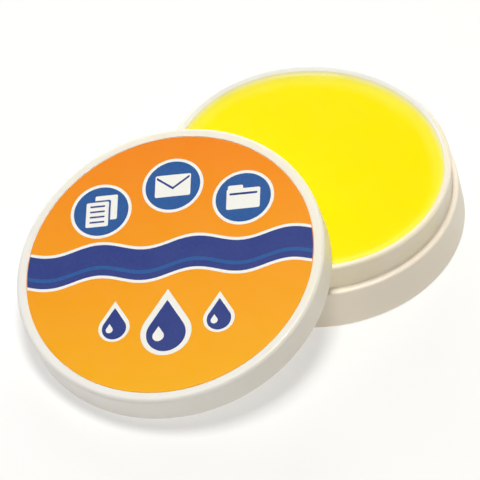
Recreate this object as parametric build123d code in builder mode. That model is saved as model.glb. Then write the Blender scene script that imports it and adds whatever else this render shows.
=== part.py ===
"""Finger moistener: a shallow round tub of gel, and its push-on lid leaning on the tub's rim.

Millimetres. The origin is the middle of the tub's foot, on the table, with +Z up.
The lid lies towards -Y: its low edge stands on the table and its skirt rests on the rim.
"""
import os
from math import asin, atan2, cos, degrees, radians, sin, sqrt

from build123d import *

# Driving dimensions of the tub
body_diameter = 57.2
base_height = 7.6
base_draft = 1.2
neck_height = 5.4
neck_wall = 1.3
rim_rounding = 0.6
rim_bevel_width = 0.65
rim_bevel_depth = 0.45
neck_foot_rounding = 0.3
ledge_flat = 0.7
shoulder_rounding = 0.5
shoulder_thickness = 1.3
base_wall = 1.0
foot_rounding = 0.4
foot_recess = 0.5
floor_thickness = 1.0
floor_rounding = 1.2
web_count = 12
web_thickness = 0.9
web_setback = 1.0

# Driving dimensions of the gel
gel_headspace = 1.15
gel_clearance = 0.05
meniscus_rise = 0.25
meniscus_width = 1.5

# Driving dimensions of the sticker under the tub
base_label_diameter = 44.0
base_label_thickness = 0.1

# Driving dimensions of the lid, its label and its liner
lid_plate = 0.9
lid_wall = 1.3
lid_edge_rounding = 0.7
skirt_rounding = 0.3
lid_closed_gap = 0.3
label_thickness = 0.1
label_seat_depth = 0.12
label_clearance = 0.1
label_border = 1.1
liner_thickness = 0.4
liner_clearance = 0.15
rib_count = 24
rib_width = 1.0
rib_depth = 0.85
rib_setback = 1.2
rib_lead_in = 0.5
rib_clearance = 0.05
rib_top_gap = 0.1

# Where the lid rests: the angle round the rim, from the lean's direction, of its two contacts
rest_angle = 52.5
rest_clearance = 0.15
table_clearance = 0.15

# Sizes that follow for the tub
body_radius = body_diameter / 2
tub_height = base_height + neck_height
base_top_radius = body_radius - base_draft
base_taper = degrees(atan2(base_draft, base_height))
neck_radius = base_top_radius - shoulder_rounding - ledge_flat
bore_radius = neck_radius - neck_wall
base_bore_radius = body_radius - base_wall
floor_top = foot_recess + floor_thickness
groove_top = base_height - shoulder_thickness
web_length = body_radius - bore_radius
web_bottom = foot_recess + web_setback
rim_fillet = min(rim_rounding, 0.47 * neck_wall)
rim_bevel = min(rim_bevel_width, 0.5 * neck_wall)
neck_foot_fillet = min(neck_foot_rounding, 0.45 * ledge_flat)
foot_fillet = min(foot_rounding, 0.5 * base_wall)

# Sizes that follow for the gel
gel_radius = bore_radius - gel_clearance
gel_top = tub_height - gel_headspace

# Sizes that follow for the lid: closed, its ribs grip the neck, its liner sits on the rim
# and its skirt clears the ledge
lid_bore_depth = neck_height + liner_thickness - lid_closed_gap
lid_height = lid_bore_depth + lid_plate
rib_tip_radius = neck_radius + rib_clearance
lid_bore_radius = rib_tip_radius + rib_depth
lid_radius = lid_bore_radius + lid_wall
label_seat_radius = lid_radius - lid_edge_rounding - label_border
label_radius = label_seat_radius - label_clearance
label_seat_height = lid_height - label_seat_depth
liner_radius = lid_bore_radius - liner_clearance
liner_height = lid_bore_depth - liner_thickness
rib_root_radius = lid_bore_radius + lid_wall / 2
rib_length = rib_root_radius - rib_tip_radius
rib_height = liner_height - rib_top_gap - rib_setback
rib_chamfer = min(rib_lead_in, 0.6 * rib_depth)
skirt_fillet = min(skirt_rounding, 0.4 * lid_wall)

# The lean: the flat of the skirt's edge meets the flat of the rim at two points, mirrored in X
rim_contact_radius = neck_radius - rim_fillet
skirt_contact_radius = lid_bore_radius + skirt_fillet
contact_side = rim_contact_radius * sin(radians(rest_angle))
contact_uphill = sqrt(skirt_contact_radius**2 - contact_side**2)
foot_circle_radius = lid_radius - skirt_fillet
lean_height = tub_height + rest_clearance - table_clearance
lean = asin(lean_height / (foot_circle_radius + contact_uphill))
lid_distance = rim_contact_radius * cos(radians(rest_angle)) + contact_uphill * cos(lean)
lid_rise = table_clearance + foot_circle_radius * sin(lean) + skirt_fillet * (1 - cos(lean))

# The lid's own plane lies in the mouth of its skirt, and its Z runs out through the label
lid_plane = Plane(
    origin=(0, -lid_distance, lid_rise),
    x_dir=(1, 0, 0),
    z_dir=(0, -sin(lean), cos(lean)),
)
lid_axis = Axis(lid_plane.origin, lid_plane.z_dir)


def rings(piece, radius, axis=Axis.Z):
    """The round edges of a piece that have this radius, in order along the axis."""
    round_edges = piece.edges().filter_by(GeomType.CIRCLE)
    return round_edges.filter_by(lambda edge: abs(edge.radius - radius) < 0.001).sort_by(axis)


# Groove: the hollow between the tub's cup and its skirt, parted by webs that stiffen the skirt
with BuildPart() as groove:
    with BuildSketch():
        Circle(base_bore_radius)
    extrude(amount=groove_top, taper=base_taper)
    with BuildSketch(Plane.XY.offset(foot_recess)):
        Circle(neck_radius)
    extrude(amount=groove_top - foot_recess, mode=Mode.SUBTRACT)
    with BuildSketch(Plane.XY.offset(web_bottom)):
        with PolarLocations(bore_radius + web_length / 2, web_count):
            Rectangle(web_length, web_thickness)
    extrude(amount=groove_top - web_bottom, mode=Mode.SUBTRACT)

# Tub: a cup with a wider skirt hung from its ledge, one moulding of even wall
with BuildPart() as tub:
    with BuildSketch():
        Circle(body_radius)
    extrude(amount=base_height, taper=base_taper)
    with BuildSketch(Plane.XY.offset(base_height)):
        Circle(neck_radius)
    extrude(amount=neck_height)
    with BuildSketch(Plane.XY.offset(floor_top)):
        Circle(bore_radius)
    extrude(amount=tub_height - floor_top, mode=Mode.SUBTRACT)
    fillet(rings(tub, neck_radius)[-1], rim_fillet)
    rim_top = tub.faces().filter_by(GeomType.PLANE).sort_by(Axis.Z)[-1]
    chamfer(rings(tub, bore_radius)[-1], rim_bevel, rim_bevel_depth, reference=rim_top)
    fillet(rings(tub, neck_radius)[0], neck_foot_fillet)
    fillet(rings(tub, bore_radius)[0], floor_rounding)
    fillet(rings(tub, base_top_radius)[-1], shoulder_rounding)
    fillet(rings(tub, body_radius)[0], foot_fillet)
    # The groove also takes the floor up from the table by the foot's recess
    add(groove.part, mode=Mode.SUBTRACT)
tub.part.label = "tub"

# Gel: fills the cup, and creeps a little way up its wall
with BuildPart() as gel:
    with BuildSketch(Plane.XZ):
        with BuildLine():
            bottom = Line((0, floor_top), (gel_radius - floor_rounding, floor_top))
            corner = TangentArc(bottom @ 1, (gel_radius, floor_top + floor_rounding), tangent=bottom % 1)
            side = Line(corner @ 1, (gel_radius, gel_top + meniscus_rise))
            surface = Line((0, gel_top), (gel_radius - meniscus_width, gel_top))
            TangentArc(surface @ 1, side @ 1, tangent=surface % 1)
            Line(surface @ 0, bottom @ 0)
        make_face()
    revolve(axis=Axis.Z)
gel.part.label = "gel"

# Base label: a round sticker on the underside of the floor
with BuildPart() as base_label:
    with BuildSketch(Plane.XY.offset(foot_recess - base_label_thickness)):
        Circle(base_label_diameter / 2)
    extrude(amount=base_label_thickness)
base_label.part.label = "base_label"

# Lid: a shallow cap, with ribs inside its skirt that grip the neck
with BuildPart() as lid:
    with BuildSketch(lid_plane):
        Circle(lid_radius)
    extrude(amount=lid_height)
    with BuildSketch(lid_plane):
        Circle(lid_bore_radius)
    extrude(amount=lid_bore_depth, mode=Mode.SUBTRACT)
    fillet(rings(lid, lid_radius, lid_axis)[-1], lid_edge_rounding)
    fillet(rings(lid, lid_radius, lid_axis)[0], skirt_fillet)
    fillet(rings(lid, lid_bore_radius, lid_axis)[0], skirt_fillet)
    with BuildSketch(lid_plane.offset(label_seat_height)):
        Circle(label_seat_radius)
    extrude(amount=label_seat_depth, mode=Mode.SUBTRACT)
    with BuildSketch(lid_plane.offset(rib_setback)):
        with PolarLocations(rib_tip_radius + rib_length / 2, rib_count, start_angle=180 / rib_count):
            Rectangle(rib_length, rib_width)
    extrude(amount=rib_height)
    # Each rib's lower tip is cut back, so that the lid slides on
    straight_edges = lid.edges().filter_by(GeomType.LINE)
    rib_ends = straight_edges.filter_by(lambda edge: abs(edge.length - rib_width) < 0.001)
    chamfer(rib_ends.group_by(lid_axis)[0], rib_chamfer)
lid.part.label = "lid"

# Lid label: a printed film in the seat on top of the lid
with BuildPart() as lid_label:
    with BuildSketch(lid_plane.offset(label_seat_height)):
        Circle(label_radius)
    extrude(amount=label_thickness)
lid_label.part.label = "lid_label"

# Lid liner: a thin foam disc against the plate, held in by the ends of the ribs
with BuildPart() as lid_liner:
    with BuildSketch(lid_plane.offset(liner_height)):
        Circle(liner_radius)
    extrude(amount=liner_thickness)
lid_liner.part.label = "lid_liner"

os.makedirs("parts", exist_ok=True)
for piece in (tub, gel, base_label, lid, lid_label, lid_liner):
    export_step(piece.part, f"parts/{piece.part.label}.step")

print(f"Gel: {gel.part.volume / 1000:.2f} ml")
print(f"Lid: leans {degrees(lean):.2f} degrees, {lid_distance:.2f} mm from the tub's axis")
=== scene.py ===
"""Finger moistener: a shallow white tub of yellow gel, with its labelled lid leaning on the rim.

Metres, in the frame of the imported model: the origin is the middle of the tub's foot, with +Z up.
The tub, the lid and the sticker under the tub keep their solids and get materials.
The gel, the printed film and the foam liner are modelled here.
"""
from math import acos, cos, degrees, exp, pi, radians, sin, sqrt, tau

import bpy
from mathutils import Matrix, Quaternion, Vector


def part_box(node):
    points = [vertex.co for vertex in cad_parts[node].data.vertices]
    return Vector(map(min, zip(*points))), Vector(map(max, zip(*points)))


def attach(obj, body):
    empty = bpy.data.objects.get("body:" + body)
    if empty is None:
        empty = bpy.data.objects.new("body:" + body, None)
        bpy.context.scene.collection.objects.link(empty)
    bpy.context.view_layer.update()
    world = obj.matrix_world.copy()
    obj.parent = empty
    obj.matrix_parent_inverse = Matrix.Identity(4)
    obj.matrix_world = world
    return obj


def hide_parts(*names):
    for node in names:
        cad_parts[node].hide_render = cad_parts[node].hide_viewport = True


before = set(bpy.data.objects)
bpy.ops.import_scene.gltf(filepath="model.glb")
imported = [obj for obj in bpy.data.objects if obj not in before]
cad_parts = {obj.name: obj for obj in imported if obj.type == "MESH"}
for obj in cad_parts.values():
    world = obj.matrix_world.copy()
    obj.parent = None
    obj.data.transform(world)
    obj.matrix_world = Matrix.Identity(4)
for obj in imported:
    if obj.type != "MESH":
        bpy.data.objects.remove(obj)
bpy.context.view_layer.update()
MM = 0.001

# Camera, as solved from the outlines of the tub and the lid
camera_lens = 337.5
camera_sensor = 36.0
camera_azimuth = radians(47.877)
camera_elevation = radians(46.581)
camera_roll = radians(-3.221)
camera_distance = 814.51 * MM
camera_target = Vector((0.992, -18.608, 8.09)) * MM
camera_clip = 10 * MM

# Gel: its level below the rim, its rounded foot, and how it creeps up the wall to the rim's bevel
gel_headspace = 1.15 * MM
gel_touch = 0.045 * MM
gel_corner = 1.2 * MM
gel_corner_steps = 8
gel_rings = 44
meniscus_rise = 0.7 * MM
meniscus_reach = 0.8 * MM

# Swell of the gel's surface: waves of (angle per metre along X, angle per metre along Y, angle at the axis)
swell_height = 0.004 * MM
swell_waves = ((410.0, 150.0, 0.0), (-230.0, 330.0, 1.3))

# Tone of the gel: a painted reflection makes it paler beyond a circle set towards the camera, and it is paler
# and less glossy in its thin edge
gel_reflection_centre = (0.95 * MM, -1.31 * MM)
gel_reflection_start = 21.9 * MM
gel_reflection_end = 26.6 * MM
gel_reflection_tone = 0.68
gel_edge_width = 1.0 * MM
gel_edge_tone = 0.32
gel_gleam = 0.2
gel_edge_gleam = 0.08

# Label: the turn of its print in the lid's plane, the film's bevel, and the step between layers of ink
print_turn = radians(42.0)
film_bevel = 0.03 * MM
ink_step = 0.0025 * MM

# Print, in millimetres from the middle of the label
print_margin = 0.15
print_edge = 0.6
badge_radius = 5.7
badge_places = ((-13.2, 12.2), (0.0, 16.2), (13.2, 12.2))
large_drop_radius = 3.9
large_drop_place = (0.0, -14.6)
small_drop_radius = 2.4
small_drop_places = ((-9.6, -12.6), (9.6, -12.6))

# Band of waves across the print, and the stripe along it
wave_middle = 1.0
wave_height = 6.4
wave_swing = 0.9
wave_length = 17.7
stripe_drop = 0.24 * wave_height
stripe_height = 0.12 * wave_height

# Shapes in a drop, as shares of its radius
drop_tip = 1.9
drop_edge = 1.2
drop_edge_place = (0.0, 0.06)
drop_fill = 0.93
drop_gleam = 0.27
drop_gleam_place = (-0.36, -0.1)

# Sheets on the first badge, in millimetres from its middle
sheet_width = 4.2
sheet_height = 5.2
sheet_rounding = 0.3
sheet_gap = 0.35
sheet_gap_rounding = 0.4
back_sheet_place = (0.9, 0.7)
front_sheet_place = (-0.7, -0.6)
rule_count = 4
rule_step = 1.1
first_rule_place = (-0.7, 1.1)
rule_width = 2.8
rule_height = 0.35
rule_rounding = 0.15

# Envelope on the second badge
envelope_width = 6.6
envelope_height = 4.6
flap_place = (0.0, 0.85)
flap_width = 6.1
flap_drop = 2.3
flap_stroke = 0.5

# Folder on the third badge, which shares its rounding with the envelope
folder_place = (0.0, -0.2)
folder_width = 6.2
folder_height = 4.3
folder_rounding = 0.35
tab_place = (-1.5, 1.9)
tab_width = 2.8
tab_height = 1.6
slot_place = (0.0, 0.85)
slot_width = 5.2
slot_height = 0.45
slot_rounding = 0.2

# Lid: where its plastic is coolest and warmest along Y, under a painted warm bounce of light from the gel
lid_gel_bounce_start = -60.0 * MM
lid_gel_bounce_end = -8.0 * MM

# Tub: a painted warm glow makes the neck warmer above the ledge, and a painted highlight makes the rim white
# within a circle set towards its far side
ledge_height = 7.6 * MM
neck_glow_fade = 1.0 * MM
neck_glow_tone = 0.19
bevel_depth = 0.45 * MM
rim_highlight_centre = (-0.89 * MM, 0.80 * MM)
rim_highlight_start = 24.95 * MM
rim_highlight_end = 25.25 * MM
rim_highlight_tone = -0.5

# Foam liner: its rounded edge, and the ring that the tub's rim presses into it
liner_edge = 0.12 * MM
liner_edge_steps = 6
liner_mark_radius = 25.6 * MM
liner_mark_depth = 0.05 * MM
liner_mark_width = 0.5 * MM
liner_mark_steps = 8

# Room: the sweep of paper glows from the horizon up to its start, and fades into the room at its end
room_colour = (1.0, 0.985, 0.96)
room_glow = 0.02
sweep_glow = 0.9
sweep_start = radians(4.0)
sweep_end = radians(9.0)

# Floor: paper over a light table, which glows less under the part than far from it
floor_radius = 4.0
floor_steps = 64
floor_glow_near = 0.545
floor_glow_far = 0.92
floor_near = 0.10
floor_far = 1.10

# Points round a circle and in each arc of an outline, and rounds to find where a wave meets a circle
round_steps = 192
arc_steps = 12
wave_steps = 8 * arc_steps
crossing_rounds = 20

# Faces that meet at more than this angle have a sharp edge, and a normal that rises more than this looks up
sharp_angle = radians(35.0)
upward_rise = 0.5

# The range that a noise mostly keeps to
noise_low = 0.3
noise_high = 0.7


# Shader helpers

def new_material(name):
    """A material with a Principled shader, as (material, node tree, shader)."""
    material = bpy.data.materials.new(name)
    material.use_nodes = True
    tree = material.node_tree
    return material, tree, tree.nodes["Principled BSDF"]


def set_inputs(node, **values):
    """Sets a node's sockets by their names, with spaces written as underscores."""
    for name, value in values.items():
        node.inputs[name.replace("_", " ")].default_value = value


def object_place(tree):
    """The place on the object, in metres."""
    return tree.nodes.new("ShaderNodeTexCoord").outputs["Object"]


def noise(tree, size, detail=2.0):
    """A noise whose lumps are about this size."""
    texture = tree.nodes.new("ShaderNodeTexNoise")
    set_inputs(texture, Scale=1 / size, Detail=detail)
    tree.links.new(object_place(tree), texture.inputs["Vector"])
    return texture.outputs["Fac"]


def spread(tree, factor, low, high, start=0.0, end=1.0):
    """A number that goes from low to high as the factor goes from start to end."""
    spreader = tree.nodes.new("ShaderNodeMapRange")
    set_inputs(spreader, From_Min=start, From_Max=end, To_Min=low, To_Max=high)
    tree.links.new(factor, spreader.inputs["Value"])
    return spreader.outputs["Result"]


def patches(tree, size, low, high):
    """A number that drifts between low and high, in patches of about this size."""
    return spread(tree, noise(tree, size), low, high, noise_low, noise_high)


def shades(tree, factor, *stops):
    """A colour ramp through stops of (place, colour)."""
    ramp = tree.nodes.new("ShaderNodeValToRGB")
    elements = ramp.color_ramp.elements
    while len(elements) < len(stops):
        elements.new(0.5)
    for element, (place, colour) in zip(elements, stops):
        element.position = place
        element.color = (*colour, 1.0)
    tree.links.new(factor, ramp.inputs["Fac"])
    return ramp.outputs["Color"]


def bump(tree, shader, height, depth):
    """Raises the shaded surface by a height of 0 to 1 times the depth."""
    bumps = tree.nodes.new("ShaderNodeBump")
    set_inputs(bumps, Strength=1.0, Distance=depth)
    tree.links.new(height, bumps.inputs["Height"])
    tree.links.new(bumps.outputs["Normal"], shader.inputs["Normal"])


def combined(tree, operation, first, second):
    """Two numbers combined by an operation."""
    combiner = tree.nodes.new("ShaderNodeMath")
    combiner.operation = operation
    tree.links.new(first, combiner.inputs[0])
    tree.links.new(second, combiner.inputs[1])
    return combiner.outputs["Value"]


def axis_distance(tree, centre=(0.0, 0.0)):
    """The distance from an upright axis through a centre of (x, y)."""
    flat = tree.nodes.new("ShaderNodeVectorMath")
    flat.operation = "MULTIPLY"
    flat.inputs[1].default_value = (1.0, 1.0, 0.0)
    tree.links.new(object_place(tree), flat.inputs[0])
    distance = tree.nodes.new("ShaderNodeVectorMath")
    distance.operation = "DISTANCE"
    distance.inputs[1].default_value = (*centre, 0.0)
    tree.links.new(flat.outputs["Vector"], distance.inputs[0])
    return distance.outputs["Value"]


def coordinate(tree, axis):
    """The place on the object along one axis of the frame."""
    split = tree.nodes.new("ShaderNodeSeparateXYZ")
    tree.links.new(object_place(tree), split.inputs["Vector"])
    return split.outputs[axis]


# Materials

def moulded_skin(tree, shader):
    """The satin skin of both mouldings, with a fine mould texture."""
    tree.links.new(patches(tree, 3 * MM, 0.34, 0.46), shader.inputs["Roughness"])
    bump(tree, shader, noise(tree, 0.25 * MM, 3.0), 0.004 * MM)
    set_inputs(shader, IOR=1.49, Subsurface_Weight=0.12, Subsurface_Scale=0.8 * MM)
    set_inputs(shader, Subsurface_Radius=(1.0, 0.85, 0.65))


def lid_plastic():
    """Warm white moulded plastic with slow clouds of tone, and a painted warm bounce of light from the gel
    that makes it warmer on the side towards the gel.
    """
    material, tree, shader = new_material("lid_plastic")
    # Painted warm bounce of light from the gel, stronger along Y towards it
    side = spread(tree, coordinate(tree, "Y"), 0.1, 0.9, lid_gel_bounce_start, lid_gel_bounce_end)
    clouds = patches(tree, 14 * MM, -0.1, 0.1)
    colour = shades(
        tree, combined(tree, "ADD", side, clouds),
        (0.0, (0.88, 0.856, 0.818)), (1.0, (0.895, 0.835, 0.672)),
    )
    tree.links.new(colour, shader.inputs["Base Color"])
    moulded_skin(tree, shader)
    return material


def tub_plastic(rim_height):
    """The same plastic with gel behind it, with a painted warm glow up its neck and a painted highlight on
    the far side of its rim.
    """
    material, tree, shader = new_material("tub_plastic")
    height = coordinate(tree, "Z")
    # Painted warm glow up the neck, above the ledge
    neck = spread(tree, height, 0.0, neck_glow_tone, ledge_height, ledge_height + neck_glow_fade)
    above = spread(tree, height, 0.0, 1.0, rim_height - 2 * bevel_depth, rim_height - bevel_depth)
    # Painted highlight: the rim's bevel turns white within a circle set towards its far side
    far_rim_highlight = spread(
        tree, axis_distance(tree, rim_highlight_centre), rim_highlight_tone, 0.0, rim_highlight_start, rim_highlight_end,
    )
    clouds = patches(tree, 14 * MM, 0.3, 0.5)
    tone = combined(tree, "ADD", neck, combined(tree, "MULTIPLY", above, far_rim_highlight))
    # The white of the painted highlight on the far rim
    white = (0.96, 0.95, 0.915)
    colour = shades(
        tree, combined(tree, "ADD", clouds, tone),
        (0.0, white), (0.2, white), (0.3, (0.91, 0.82, 0.68)),
        (0.5, (0.925, 0.835, 0.70)), (0.69, (0.925, 0.825, 0.595)),
    )
    tree.links.new(colour, shader.inputs["Base Color"])
    moulded_skin(tree, shader)
    return material


def gel_yellow(radius):
    """Lemon-yellow gel with a wet skin: paler towards the wall, most at the far side where a painted
    reflection lies, and in its thin edge.
    """
    material, tree, shader = new_material("gel_yellow")
    # Painted reflection: paler towards the wall, most at the far side
    painted_reflection = spread(tree, axis_distance(tree, gel_reflection_centre), 0.0, gel_reflection_tone, gel_reflection_start, gel_reflection_end)
    edge = spread(tree, axis_distance(tree), 0.0, gel_edge_tone, radius - gel_edge_width, radius)
    clouds = patches(tree, 7 * MM, -0.05, 0.05)
    colour = shades(
        tree, combined(tree, "ADD", combined(tree, "ADD", painted_reflection, edge), clouds),
        (0.07, (0.92, 0.77, 0.001)), (0.44, (0.93, 0.815, 0.06)),
        (0.6, (0.94, 0.84, 0.15)), (1.0, (0.955, 0.895, 0.57)),
    )
    tree.links.new(colour, shader.inputs["Base Color"])
    tree.links.new(patches(tree, 5 * MM, 0.20, 0.26), shader.inputs["Roughness"])
    bump(tree, shader, noise(tree, 6 * MM), 0.01 * MM)
    gleam = spread(
        tree, axis_distance(tree), gel_gleam, gel_edge_gleam,
        radius - 3 * gel_edge_width, radius - gel_edge_width,
    )
    tree.links.new(gleam, shader.inputs["Specular IOR Level"])
    set_inputs(shader, IOR=1.40, Subsurface_Weight=0.15, Subsurface_Scale=1.0 * MM)
    set_inputs(shader, Subsurface_Radius=(1.0, 0.8, 0.1))
    return material


def orange_film(plane, radius):
    """Printed film: deeper orange at the top of the print, amber at its foot, under a satin laminate."""
    material, tree, shader = new_material("orange_film")
    upright = plane.col[1].to_3d()
    middle = plane.translation.dot(upright)
    along = tree.nodes.new("ShaderNodeVectorMath")
    along.operation = "DOT_PRODUCT"
    along.inputs[1].default_value = upright
    tree.links.new(object_place(tree), along.inputs[0])
    height = spread(tree, along.outputs["Value"], 0.0, 1.0, middle - radius, middle + radius)
    grain = spread(tree, noise(tree, 0.5 * MM, 3.0), -0.02, 0.02)
    colour = shades(
        tree, combined(tree, "ADD", height, grain),
        (0.0, (0.95, 0.44, 0.005)), (0.5, (0.92, 0.335, 0.005)), (1.0, (0.89, 0.235, 0.005)),
    )
    tree.links.new(colour, shader.inputs["Base Color"])
    tree.links.new(patches(tree, 4 * MM, 0.36, 0.46), shader.inputs["Roughness"])
    bump(tree, shader, noise(tree, 0.6 * MM), 0.002 * MM)
    set_inputs(shader, Specular_IOR_Level=0.25)
    return material


def ink(name, light, dark):
    """Printing ink that lies a little unevenly."""
    material, tree, shader = new_material(name)
    colour = shades(tree, noise(tree, 0.6 * MM, 3.0), (noise_low, dark), (noise_high, light))
    tree.links.new(colour, shader.inputs["Base Color"])
    tree.links.new(patches(tree, 4 * MM, 0.36, 0.46), shader.inputs["Roughness"])
    set_inputs(shader, Specular_IOR_Level=0.25)
    return material


def liner_foam():
    """Fine closed-cell foam, off white and matt."""
    material, tree, shader = new_material("liner_foam")
    cells = tree.nodes.new("ShaderNodeTexVoronoi")
    set_inputs(cells, Scale=1 / (0.35 * MM))
    tree.links.new(object_place(tree), cells.inputs["Vector"])
    colour = shades(tree, cells.outputs["Distance"], (0.0, (0.78, 0.775, 0.75)), (0.6, (0.88, 0.875, 0.85)))
    tree.links.new(colour, shader.inputs["Base Color"])
    tree.links.new(spread(tree, noise(tree, 1 * MM), 0.75, 0.9), shader.inputs["Roughness"])
    bump(tree, shader, cells.outputs["Distance"], 0.03 * MM)
    return material


def sticker_paper():
    """Plain coated paper with faint fibres."""
    material, tree, shader = new_material("sticker_paper")
    fibres = noise(tree, 0.4 * MM, 5.0)
    colour = shades(tree, fibres, (noise_low, (0.84, 0.83, 0.79)), (noise_high, (0.90, 0.89, 0.86)))
    tree.links.new(colour, shader.inputs["Base Color"])
    tree.links.new(spread(tree, fibres, 0.55, 0.7), shader.inputs["Roughness"])
    bump(tree, shader, fibres, 0.006 * MM)
    return material


def floor_paper():
    """Plain studio paper, made pale by the light table under it."""
    material, tree, shader = new_material("floor_paper")
    colour = shades(
        tree, noise(tree, 60 * MM),
        (noise_low, (0.415, 0.415, 0.41)), (noise_high, (0.42, 0.42, 0.415)),
    )
    tree.links.new(colour, shader.inputs["Base Color"])
    set_inputs(shader, Roughness=0.9, Specular_IOR_Level=0.1)
    glow = spread(tree, axis_distance(tree), floor_glow_near, floor_glow_far, floor_near, floor_far)
    tree.links.new(glow, shader.inputs["Emission Strength"])
    set_inputs(shader, Emission_Color=(*room_colour, 1.0))
    return material


# Mesh helpers

def mesh_piece(name, points, faces, materials, smooth=True, plane=Matrix()):
    """A new object from points on a plane and faces, where each face is (corners, material index)."""
    mesh = bpy.data.meshes.new(name)
    mesh.from_pydata(points, [], [corners for corners, _ in faces])
    mesh.transform(plane)
    for material in materials:
        mesh.materials.append(material)
    for polygon, (_, material_index) in zip(mesh.polygons, faces):
        polygon.material_index = material_index
        polygon.use_smooth = smooth
    mesh.update()
    mesh.set_sharp_from_angle(angle=sharp_angle)
    piece = bpy.data.objects.new(name, mesh)
    bpy.context.scene.collection.objects.link(piece)
    return piece


def lathe(name, profile, material, plane=Matrix(), shift=None):
    """A closed round piece on a plane. The profile runs from axis to axis, as (radius, height).

    Shift, where it is given, adds to the height at a point of (x, y, height).
    """
    first, *middle, last = profile
    points = [(0.0, 0.0, first[1])]
    for radius, height in middle:
        for step in range(round_steps):
            angle = tau * step / round_steps
            x = radius * cos(angle)
            y = radius * sin(angle)
            points.append((x, y, height + (shift(x, y, height) if shift else 0.0)))
    points.append((0.0, 0.0, last[1]))

    def corner(ring, step):
        return 1 + ring * round_steps + step % round_steps

    faces = []
    end = len(points) - 1
    last_ring = len(middle) - 1
    for step in range(round_steps):
        faces.append(((0, corner(0, step), corner(0, step + 1)), 0))
        for ring in range(last_ring):
            near_side = (corner(ring, step), corner(ring + 1, step))
            far_side = (corner(ring + 1, step + 1), corner(ring, step + 1))
            faces.append((near_side + far_side, 0))
        faces.append(((corner(last_ring, step), end, corner(last_ring, step + 1)), 0))
    return mesh_piece(name, points, faces, [material], plane=plane)


def disc_plane(node):
    """A thin disc of the frame, as (matrix, radius, thickness). The matrix stands on its upper face."""
    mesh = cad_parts[node].data
    normal = Vector()
    for polygon in mesh.polygons:
        if polygon.normal.z > upward_rise:
            normal += polygon.normal * polygon.area
    normal.normalize()
    low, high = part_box(node)
    middle = (low + high) / 2
    depths = [(vertex.co - middle).dot(normal) for vertex in mesh.vertices]
    across = Vector((1.0, 0.0, 0.0))
    along = normal.cross(across)
    top = middle + normal * max(depths)
    matrix = Matrix.Translation(top) @ Matrix((across, along, normal)).transposed().to_4x4()
    return matrix, (high.x - low.x) / 2, max(depths) - min(depths)


# Outlines of the print, in millimetres from the middle of the label

def moved(point, offset, scale=1.0):
    """A point moved by an offset times a scale."""
    return point[0] + offset[0] * scale, point[1] + offset[1] * scale


def arc(centre, radius, start, end, steps=arc_steps):
    """Points along an arc, with its angles in degrees."""
    angles = [radians(start + (end - start) * step / steps) for step in range(steps + 1)]
    return [(centre[0] + radius * cos(angle), centre[1] + radius * sin(angle)) for angle in angles]


def disc(centre, radius):
    """A full circle."""
    return arc(centre, radius, 0, 360, 4 * arc_steps)[:-1]


def drop(foot, radius):
    """A water drop about the middle of its round foot, with its tip straight above."""
    tip = drop_tip * radius
    shoulder = degrees(acos(radius / tip))
    round_part = arc(foot, radius, 90 + shoulder, 450 - shoulder, 3 * arc_steps)
    return round_part + [(foot[0], foot[1] + tip)]


def rounded_box(centre, width, height, radius):
    """A rectangle with round corners."""
    side = width / 2 - radius
    rise = height / 2 - radius
    corners = ((1, 1, 0), (-1, 1, 90), (-1, -1, 180), (1, -1, 270))
    outline = []
    for right, up, angle in corners:
        outline += arc((centre[0] + right * side, centre[1] + up * rise), radius, angle, angle + 90)
    return outline


def wave_band(middle, height, reach):
    """A band between two waves that crosses the label and ends on a circle of this reach."""

    def wave(x, offset):
        return middle + offset + wave_swing * sin(tau * x / wave_length)

    def crossing(side, offset):
        x = side * reach
        for _ in range(crossing_rounds):
            x = side * sqrt(reach ** 2 - wave(x, offset) ** 2)
        return x

    def edge(offset):
        left = crossing(-1, offset)
        right = crossing(1, offset)
        places = [left + (right - left) * step / wave_steps for step in range(wave_steps + 1)]
        return [(x, wave(x, offset)) for x in places]

    def end(side, start, stop):
        heights = [start + (stop - start) * step / arc_steps for step in range(1, arc_steps)]
        return [(side * sqrt(reach ** 2 - y ** 2), y) for y in heights]

    top = edge(height / 2)
    foot = edge(-height / 2)
    right_end = end(1, foot[-1][1], top[-1][1])
    left_end = end(-1, top[0][1], foot[0][1])
    return foot + right_end + top[::-1] + left_end


def chevron(centre, width, drop_height, stroke):
    """A stroke that runs down to a point and up again."""
    left = centre[0] - width / 2
    right = centre[0] + width / 2
    top = centre[1] + drop_height / 2
    foot = centre[1] - drop_height / 2
    return [
        (left, top), (left, top - stroke), (centre[0], foot - stroke),
        (right, top - stroke), (right, top), (centre[0], foot),
    ]


# Motifs of the print, as lists of (outline, ink, layer), with each ink's place in the list of inks

white_ink = 0
blue_ink = 1
navy_ink = 2


def drop_motif(foot, radius):
    """A navy water drop with a white edge and a white gleam."""
    edge_foot = moved(foot, drop_edge_place, radius)
    gleam_foot = moved(foot, drop_gleam_place, radius)
    return [
        (drop(edge_foot, drop_edge * radius), white_ink, 1),
        (drop(foot, drop_fill * radius), navy_ink, 2),
        (drop(gleam_foot, drop_gleam * radius), white_ink, 3),
    ]


def badge(centre, radius):
    """A round blue field with a white edge."""
    return [(disc(centre, radius), white_ink, 1), (disc(centre, radius - print_edge), blue_ink, 2)]


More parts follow.
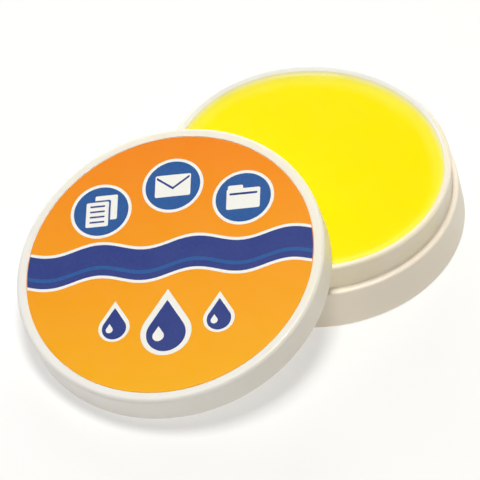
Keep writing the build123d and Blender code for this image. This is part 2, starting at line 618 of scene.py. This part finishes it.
def sheets_motif(centre):
    """Two overlapping sheets with a gap between them, the front one ruled with lines."""
    back = moved(centre, back_sheet_place)
    front = moved(centre, front_sheet_place)
    gap_width = sheet_width + 2 * sheet_gap
    gap_height = sheet_height + 2 * sheet_gap
    slabs = [
        (rounded_box(back, sheet_width, sheet_height, sheet_rounding), white_ink, 3),
        (rounded_box(front, gap_width, gap_height, sheet_gap_rounding), blue_ink, 4),
        (rounded_box(front, sheet_width, sheet_height, sheet_rounding), white_ink, 5),
    ]
    for line in range(rule_count):
        place = moved(moved(centre, first_rule_place), (0.0, -rule_step), line)
        slabs.append((rounded_box(place, rule_width, rule_height, rule_rounding), navy_ink, 6))
    return slabs


def envelope_motif(centre):
    """A sealed envelope."""
    flap = moved(centre, flap_place)
    return [
        (rounded_box(centre, envelope_width, envelope_height, folder_rounding), white_ink, 3),
        (chevron(flap, flap_width, flap_drop, flap_stroke), navy_ink, 4),
    ]


def folder_motif(centre):
    """A file folder with a tab and a slot."""
    tab = moved(centre, tab_place)
    folder = moved(centre, folder_place)
    slot = moved(centre, slot_place)
    return [
        (rounded_box(tab, tab_width, tab_height, folder_rounding), white_ink, 3),
        (rounded_box(folder, folder_width, folder_height, folder_rounding), white_ink, 4),
        (rounded_box(slot, slot_width, slot_height, slot_rounding), navy_ink, 5),
    ]


def wave_motif(reach):
    """A navy band of water with white edges and a lighter stripe along it."""
    return [
        (wave_band(wave_middle, wave_height + 2 * print_edge, reach), white_ink, 1),
        (wave_band(wave_middle, wave_height, reach), navy_ink, 2),
        (wave_band(wave_middle - stripe_drop, stripe_height, reach), blue_ink, 3),
    ]


def print_piece(name, slabs, inks, plane):
    """The slabs of ink of a motif, as one thin closed piece on the film."""
    points = []
    faces = []
    for outline, ink_index, layer in slabs:
        first = len(points)
        count = len(outline)
        points += [(x * MM, y * MM, -ink_step) for x, y in outline]
        points += [(x * MM, y * MM, layer * ink_step) for x, y in outline]
        faces.append((tuple(reversed(range(first, first + count))), ink_index))
        faces.append((tuple(range(first + count, first + 2 * count)), ink_index))
        for step in range(count):
            following = (step + 1) % count
            side = (first + step, first + following, first + count + following, first + count + step)
            faces.append((side, ink_index))
    piece = mesh_piece(name, points, faces, inks, smooth=False, plane=plane)
    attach(piece, "lid_body")


# Pieces

def make_gel():
    """The gel in the tub: a nearly flat surface that creeps up the wall, over a rounded floor."""
    low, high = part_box("gel")
    # The gel reaches a little past its solid, to the wall
    radius = high.x + gel_touch
    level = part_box("tub")[1].z - gel_headspace
    profile = [(0.0, level)]
    for ring in range(1, gel_rings + 1):
        reach = radius * sin(pi / 2 * ring / gel_rings)
        profile.append((reach, level + meniscus_rise * exp((reach - radius) / meniscus_reach)))
    for step in range(gel_corner_steps + 1):
        angle = pi / 2 * step / gel_corner_steps
        reach = radius - gel_corner + gel_corner * cos(angle)
        profile.append((reach, low.z + gel_corner - gel_corner * sin(angle)))
    profile.append((0.0, low.z))

    def swell(x, y, height):
        if height < level - swell_height:
            return 0.0
        fade = max(0.0, 1 - (x * x + y * y) / radius ** 2)
        waves = sum(sin(along_x * x + along_y * y + start) for along_x, along_y, start in swell_waves)
        return swell_height * fade * waves

    piece = lathe("gel_fill", profile, gel_yellow(radius), shift=swell)
    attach(piece, "tub_body")
    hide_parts("gel")


def make_label():
    """The film on the lid, and the ink that is printed on it."""
    plane, radius, thickness = disc_plane("lid_label")
    plane = plane @ Matrix.Rotation(print_turn, 4, "Z")
    profile = [
        (0.0, 0.0), (radius / 2, 0.0), (radius - film_bevel, 0.0), (radius, -film_bevel),
        (radius, -thickness), (radius / 2, -thickness), (0.0, -thickness),
    ]
    film = lathe("label_film", profile, orange_film(plane, radius), plane)
    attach(film, "lid_body")
    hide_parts("lid_label")
    inks = [
        ink("white_ink", (0.90, 0.885, 0.82), (0.88, 0.865, 0.80)),
        ink("blue_ink", (0.024, 0.105, 0.33), (0.020, 0.092, 0.30)),
        ink("navy_ink", (0.032, 0.053, 0.24), (0.027, 0.046, 0.215)),
    ]
    drops = drop_motif(large_drop_place, large_drop_radius)
    for place in small_drop_places:
        drops += drop_motif(place, small_drop_radius)
    print_piece("print_drops", drops, inks, plane)
    badges = []
    for place, motif in zip(badge_places, (sheets_motif, envelope_motif, folder_motif)):
        badges += badge(place, badge_radius) + motif(place)
    print_piece("print_badges", badges, inks, plane)
    print_piece("print_wave", wave_motif(radius / MM - print_margin), inks, plane)


def make_liner():
    """The foam disc in the lid, with the mark that the rim presses into it."""
    plane, radius, thickness = disc_plane("lid_liner")
    profile = [(0.0, 0.0), (radius / 2, 0.0)]
    edge_angles = [pi / 2 * step / liner_edge_steps for step in range(liner_edge_steps + 1)]
    for angle in edge_angles:
        profile.append((radius - liner_edge * (1 - sin(angle)), -liner_edge * (1 - cos(angle))))
    for angle in edge_angles:
        profile.append((radius - liner_edge * (1 - cos(angle)), -thickness + liner_edge * (1 - sin(angle))))
    for step in range(-liner_mark_steps, liner_mark_steps + 1):
        offset = -2 * liner_mark_width * step / liner_mark_steps
        mark = liner_mark_depth * exp(-(offset / liner_mark_width) ** 2)
        profile.append((liner_mark_radius + offset, -thickness + mark))
    profile.append((radius / 2, -thickness))
    profile.append((0.0, -thickness))
    piece = lathe("foam_liner", profile, liner_foam(), plane)
    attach(piece, "lid_body")
    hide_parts("lid_liner")


def dress(node, material):
    """Gives a solid of the frame its material."""
    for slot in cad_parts[node].material_slots:
        slot.material = material


# Stage, light and camera

camera_back = Vector((
    sin(camera_azimuth) * cos(camera_elevation),
    -cos(camera_azimuth) * cos(camera_elevation),
    sin(camera_elevation),
))
picture_right = Vector((cos(camera_azimuth), sin(camera_azimuth), 0.0))
picture_back = Vector((-sin(camera_azimuth), cos(camera_azimuth), 0.0))


def make_floor():
    """A wide round floor at the foot of the tub and the lid."""
    angles = [tau * step / floor_steps for step in range(floor_steps)]
    points = [(floor_radius * cos(angle), floor_radius * sin(angle), 0.0) for angle in angles]
    floor = mesh_piece("floor", points, [(tuple(range(floor_steps)), 0)], [floor_paper()])


def make_light(name, place, size, power, colour):
    """A round soft light, aimed at the camera's target from a place of (picture right, picture back, up)."""
    light = bpy.data.lights.new(name, "AREA")
    light.shape = "DISK"
    light.size = size
    light.energy = power
    light.color = colour
    lamp = bpy.data.objects.new(name, light)
    right, back, up = place
    offset = picture_right * right + picture_back * back + Vector((0.0, 0.0, up))
    lamp.location = camera_target + offset
    lamp.rotation_euler = (-offset).to_track_quat("-Z", "Y").to_euler()
    bpy.context.scene.collection.objects.link(lamp)


def make_world():
    """A dim room, with a pale sweep of paper that stands up a little way from the horizon."""
    world = bpy.data.worlds.new("room")
    world.use_nodes = True
    tree = world.node_tree
    background = tree.nodes["Background"]
    split = tree.nodes.new("ShaderNodeSeparateXYZ")
    tree.links.new(tree.nodes.new("ShaderNodeTexCoord").outputs["Generated"], split.inputs["Vector"])
    glow = spread(tree, split.outputs["Z"], sweep_glow, room_glow, sin(sweep_start), sin(sweep_end))
    tree.links.new(glow, background.inputs["Strength"])
    set_inputs(background, Color=(*room_colour, 1.0))
    bpy.context.scene.world = world


def make_camera():
    """The photograph's viewpoint."""
    data = bpy.data.cameras.new("camera")
    data.lens = camera_lens
    data.sensor_width = camera_sensor
    data.clip_start = camera_clip
    camera = bpy.data.objects.new("camera", data)
    turn = (-camera_back).to_track_quat("-Z", "Y") @ Quaternion((0.0, 0.0, 1.0), camera_roll)
    camera.rotation_mode = "QUATERNION"
    camera.rotation_quaternion = turn
    camera.location = camera_target + camera_back * camera_distance
    bpy.context.scene.collection.objects.link(camera)
    bpy.context.scene.camera = camera


dress("tub", tub_plastic(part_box("tub")[1].z))
dress("lid", lid_plastic())
dress("base_label", sticker_paper())
make_gel()
make_label()
make_liner()
make_floor()
make_light("top", place=(0.0, 0.0, 1.0), size=0.36, power=9.0, colour=(1.0, 1.0, 0.98))
make_light("back", place=(0.0, 0.90, 0.40), size=0.4, power=2.3, colour=(0.97, 1.0, 1.0))
make_light("back_left", place=(-0.64, 0.64, 0.40), size=0.4, power=1.5, colour=(0.78, 0.80, 1.0))
make_light("back_right", place=(0.64, 0.64, 0.40), size=0.4, power=0.75, colour=(0.94, 1.0, 0.88))
make_light("front_right", place=(0.64, -0.64, 0.40), size=0.4, power=0.13, colour=(1.0, 0.62, 0.25))
make_world()
make_camera()
bpy.context.scene.view_settings.view_transform = "Standard"
